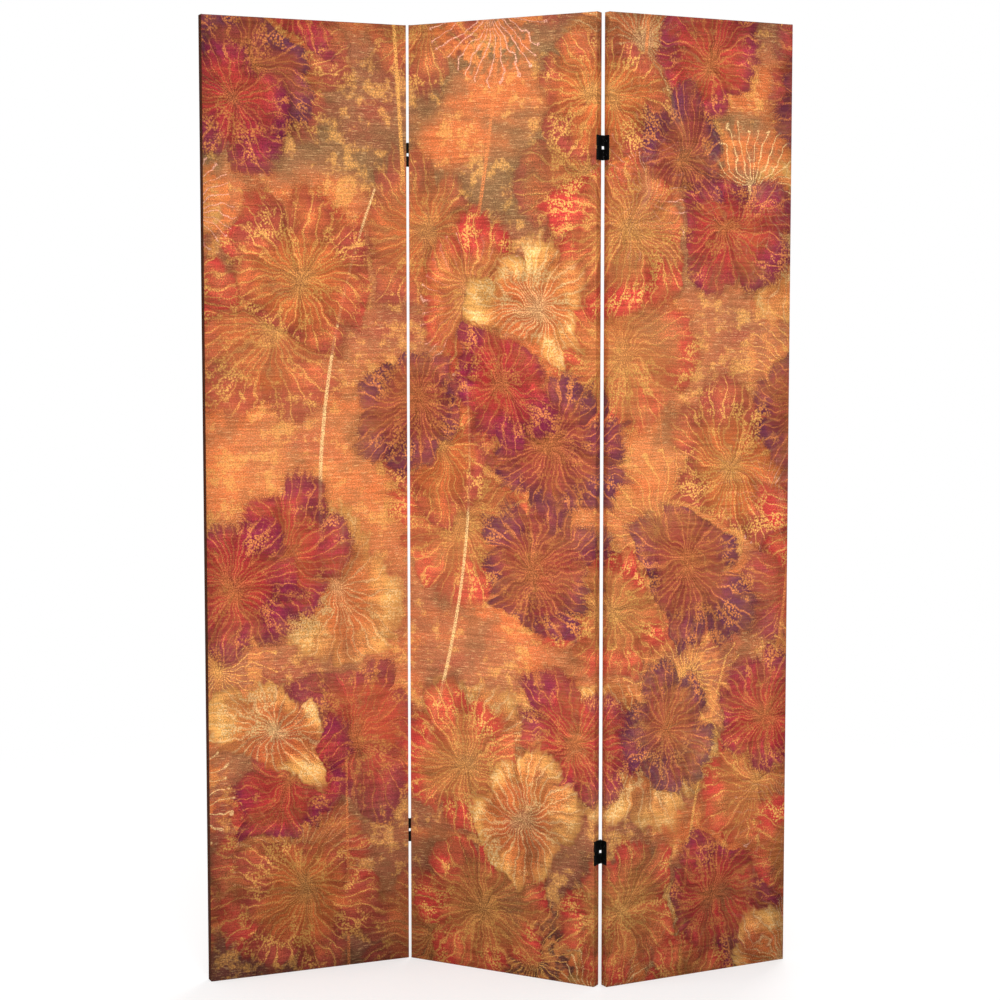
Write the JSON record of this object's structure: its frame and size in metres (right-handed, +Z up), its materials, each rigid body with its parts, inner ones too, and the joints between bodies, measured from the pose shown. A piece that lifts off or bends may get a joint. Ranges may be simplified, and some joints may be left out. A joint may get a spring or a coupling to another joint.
{
  "type": "canvas room divider",
  "caption": "Free-standing folding screen of tall stretched-canvas panels with a flower print, joined by black double-action hinges so that each seam folds both ways.",
  "frame": {"origin": "centre of the middle panel's bottom face, on the floor", "axes": "+X along the middle panel's width, its front faces -Y, +Z up"},
  "size_m": [0.8969, 0.6769, 1.8],
  "materials": {
    "printed_canvas": "satin print",
    "back_canvas": "satin print",
    "lining": "matte",
    "frame_wood": "planed",
    "dowel_wood": "fluted",
    "staple_wire": "zinc",
    "hinge_metal": "black satin",
    "pin_metal": "black satin",
    "screw_metal": "black satin"
  },
  "bodies": {
    "middle_panel": {"left_lower_hinge_inner_leaf": "hinge_metal", "left_lower_hinge_inner_screws": "screw_metal", "left_upper_hinge_inner_leaf": "hinge_metal", "left_upper_hinge_inner_screws": "screw_metal", "middle_panel_back_canvas": "back_canvas", "middle_panel_bottom_rail": "frame_wood", "middle_panel_dowels": "dowel_wood", "middle_panel_front_canvas": "printed_canvas", "middle_panel_left_stile": "frame_wood", "middle_panel_lining": "lining", "middle_panel_lower_cross_rail": "frame_wood", "middle_panel_right_stile": "frame_wood", "middle_panel_staples": "staple_wire", "middle_panel_top_rail": "frame_wood", "middle_panel_upper_cross_rail": "frame_wood", "right_lower_hinge_inner_leaf": "hinge_metal", "right_lower_hinge_inner_screws": "screw_metal", "right_upper_hinge_inner_leaf": "hinge_metal", "right_upper_hinge_inner_screws": "screw_metal"},
    "left_centre_leaves": {"left_lower_hinge_centre_leaf": "hinge_metal", "left_lower_hinge_pins": "pin_metal", "left_upper_hinge_centre_leaf": "hinge_metal", "left_upper_hinge_pins": "pin_metal"},
    "left_panel": {"left_lower_hinge_outer_leaf": "hinge_metal", "left_lower_hinge_outer_screws": "screw_metal", "left_panel_back_canvas": "back_canvas", "left_panel_bottom_rail": "frame_wood", "left_panel_dowels": "dowel_wood", "left_panel_front_canvas": "printed_canvas", "left_panel_left_stile": "frame_wood", "left_panel_lining": "lining", "left_panel_lower_cross_rail": "frame_wood", "left_panel_right_stile": "frame_wood", "left_panel_staples": "staple_wire", "left_panel_top_rail": "frame_wood", "left_panel_upper_cross_rail": "frame_wood", "left_upper_hinge_outer_leaf": "hinge_metal", "left_upper_hinge_outer_screws": "screw_metal"},
    "right_centre_leaves": {"right_lower_hinge_centre_leaf": "hinge_metal", "right_lower_hinge_pins": "pin_metal", "right_upper_hinge_centre_leaf": "hinge_metal", "right_upper_hinge_pins": "pin_metal"},
    "right_panel": {"right_lower_hinge_outer_leaf": "hinge_metal", "right_lower_hinge_outer_screws": "screw_metal", "right_panel_back_canvas": "back_canvas", "right_panel_bottom_rail": "frame_wood", "right_panel_dowels": "dowel_wood", "right_panel_front_canvas": "printed_canvas", "right_panel_left_stile": "frame_wood", "right_panel_lining": "lining", "right_panel_lower_cross_rail": "frame_wood", "right_panel_right_stile": "frame_wood", "right_panel_staples": "staple_wire", "right_panel_top_rail": "frame_wood", "right_panel_upper_cross_rail": "frame_wood", "right_upper_hinge_outer_leaf": "hinge_metal", "right_upper_hinge_outer_screws": "screw_metal"}
  },
  "joints": [
    {"name": "left_back_fold", "type": "hinge", "parent": "middle_panel", "child": "left_centre_leaves", "pos_m": [-0.202, 0.011, 0], "axis": [0, 0, -1], "range_deg": [0, 90]},
    {"name": "left_front_fold", "type": "hinge", "parent": "left_centre_leaves", "child": "left_panel", "pos_m": [-0.202, -0.011, 0], "axis": [0, 0, 1], "range_deg": [-53, 127]},
    {"name": "right_front_fold", "type": "hinge", "parent": "middle_panel", "child": "right_centre_leaves", "pos_m": [0.202, -0.011, 0], "axis": [0, 0, -1], "range_deg": [0, 90]},
    {"name": "right_back_fold", "type": "hinge", "parent": "right_centre_leaves", "child": "right_panel", "pos_m": [0.202, 0.011, 0], "axis": [0, 0, 1], "range_deg": [-57, 123]}
  ]
}
